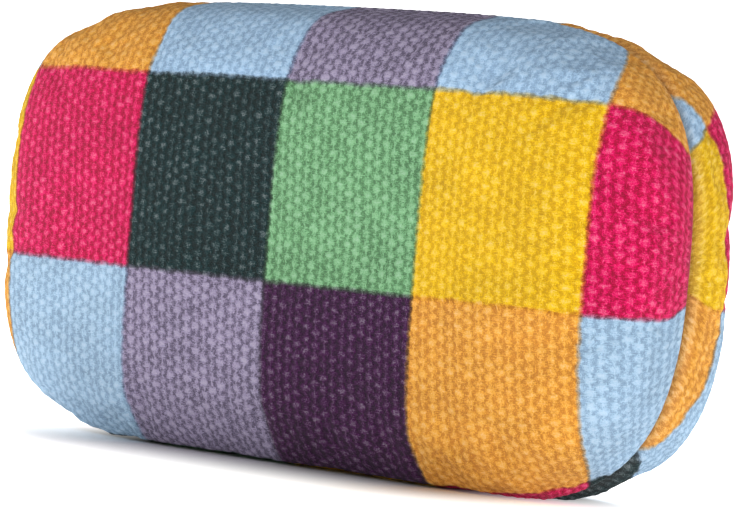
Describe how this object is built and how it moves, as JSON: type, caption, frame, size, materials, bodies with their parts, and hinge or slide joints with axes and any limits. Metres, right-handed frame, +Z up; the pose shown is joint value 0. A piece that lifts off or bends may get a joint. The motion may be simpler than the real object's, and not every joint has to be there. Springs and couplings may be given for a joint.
{
  "type": "pin cushion",
  "caption": "Stuffed block pin cushion of printed canvas: two panels joined by a seam all round, with wadding and a foam core inside.",
  "frame": {"origin": "under the middle of the cushion, on the flat underside that it stands on, in the plane of the seam", "axes": "+X along the length, the front panel faces -Y, +Z up"},
  "size_m": [0.1, 0.0254, 0.051],
  "materials": {
    "printed_canvas": "coarse half-panama cotton canvas, printed with squares in ten colours, matt",
    "sewing_thread": "spun polyester sewing thread, off-white",
    "wadding": "bonded polyester fibre, white, fluffy",
    "foam": "open-cell polyurethane foam, cream, matt"
  },
  "bodies": {
    "root": {"front_panel": "printed_canvas", "back_panel": "printed_canvas", "needle_thread": "sewing_thread", "bobbin_thread": "sewing_thread", "closing_thread": "sewing_thread", "front_wadding": "wadding", "back_wadding": "wadding", "foam_core": "foam"}
  },
  "joints": []
}
